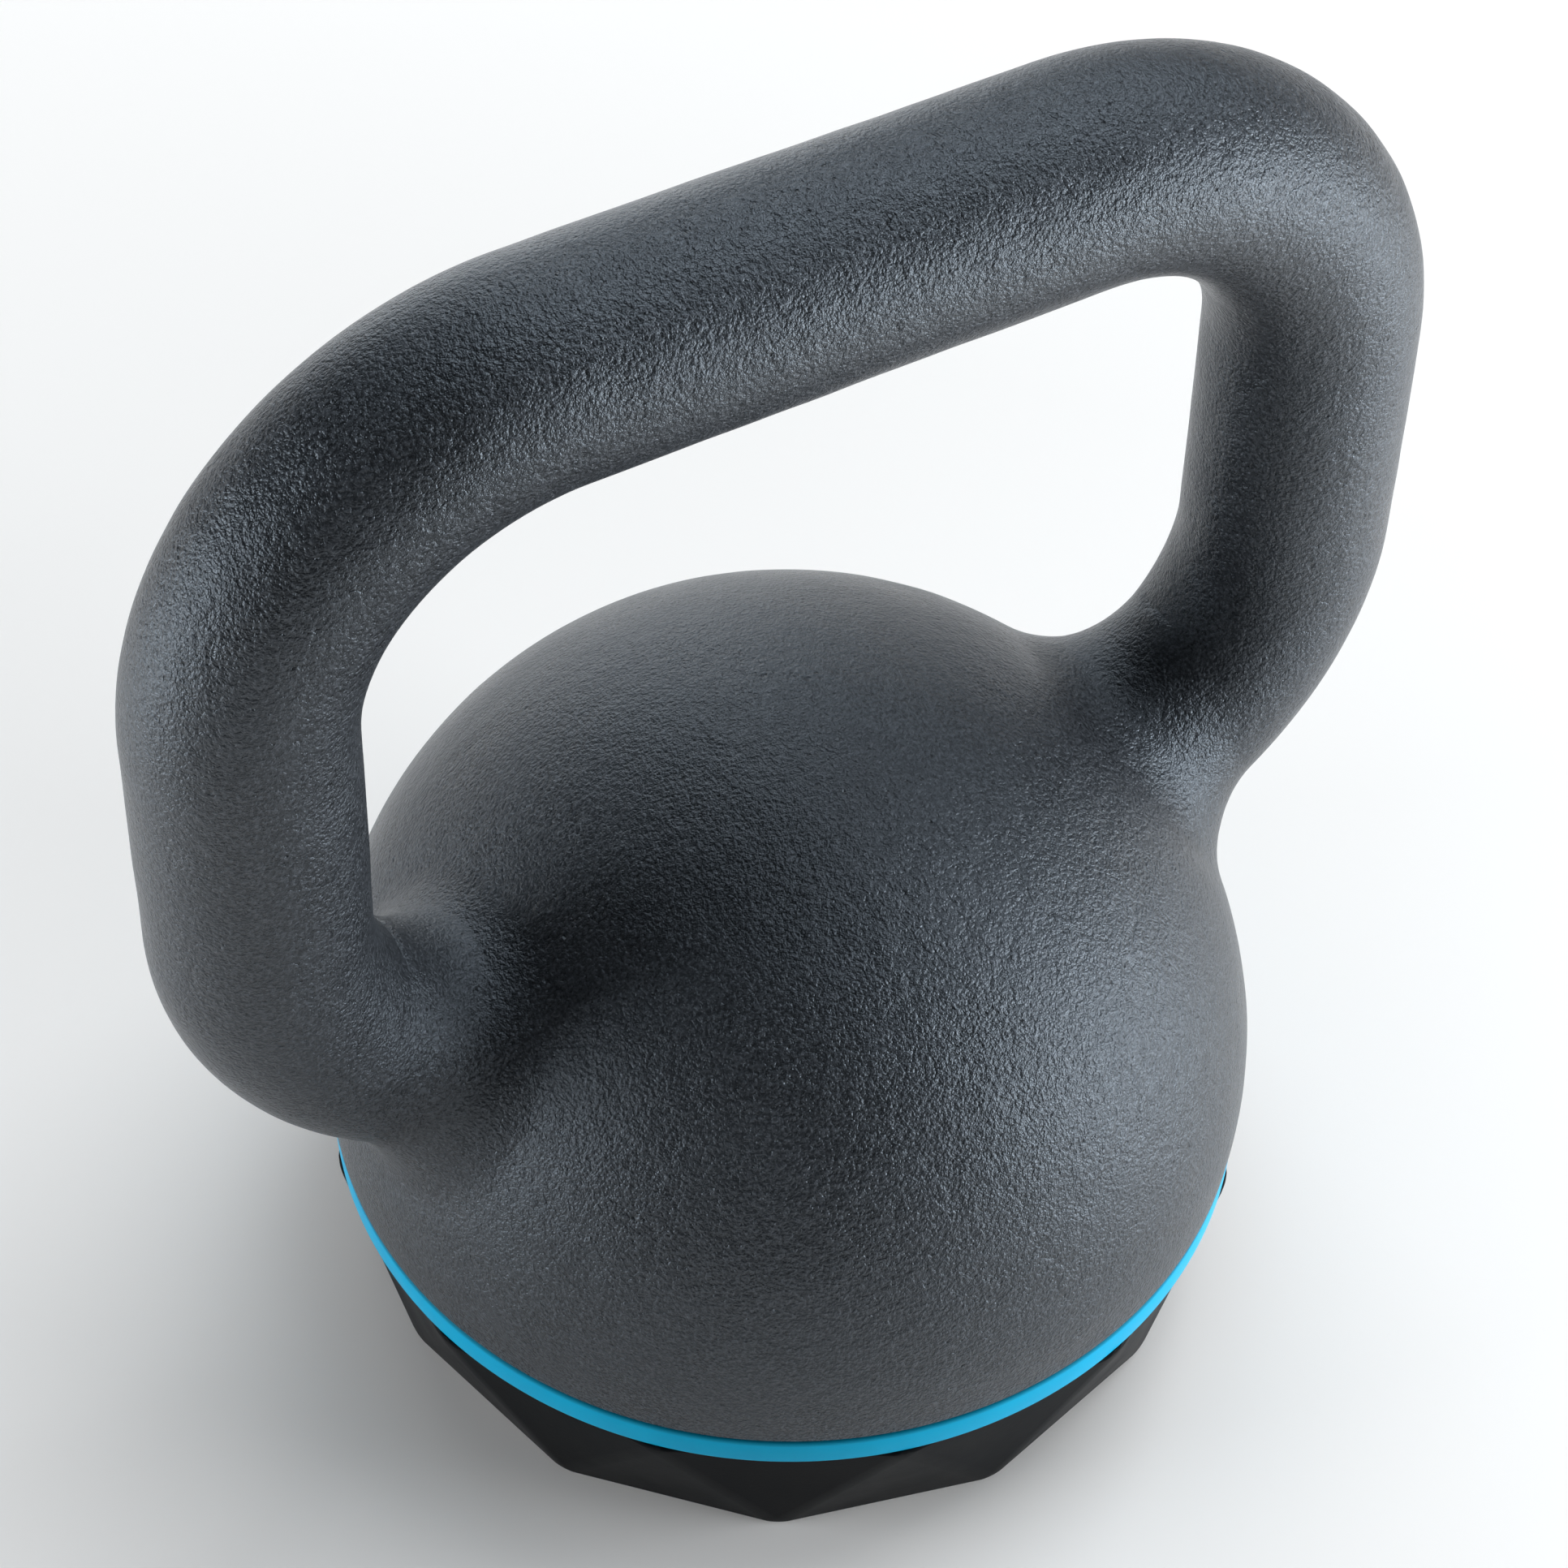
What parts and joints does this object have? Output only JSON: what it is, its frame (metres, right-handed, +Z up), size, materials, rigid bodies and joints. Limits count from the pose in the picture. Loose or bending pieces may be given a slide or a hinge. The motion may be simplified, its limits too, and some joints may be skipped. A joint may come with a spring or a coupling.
{
  "type": "kettlebell",
  "caption": "Cast-iron kettlebell: a ball with a broad loop handle, a coloured ring and a faceted rubber foot that it stands on.",
  "frame": {"origin": "middle of the foot's underside, on the floor", "axes": "+X along the grip, +Y across it, +Z up; the kettlebell is the same on both sides of X and of Y, apart from its screws"},
  "size_m": [0.2058, 0.148, 0.2175],
  "materials": {
    "cast_body": "satin charcoal paint over grainy cast iron",
    "colour_ring": "smooth moulded bright blue plastic",
    "rubber_foot": "smooth black moulded rubber with a soft gloss",
    "foot_insert": "plain zinc-plated steel sheet, moulded into the foot",
    "foot_screws": "zinc-plated steel"
  },
  "bodies": {
    "root": {"cast_body": "cast_body", "colour_ring": "colour_ring", "rubber_foot": "rubber_foot", "foot_insert": "foot_insert", "foot_screws": "foot_screws"}
  },
  "joints": []
}
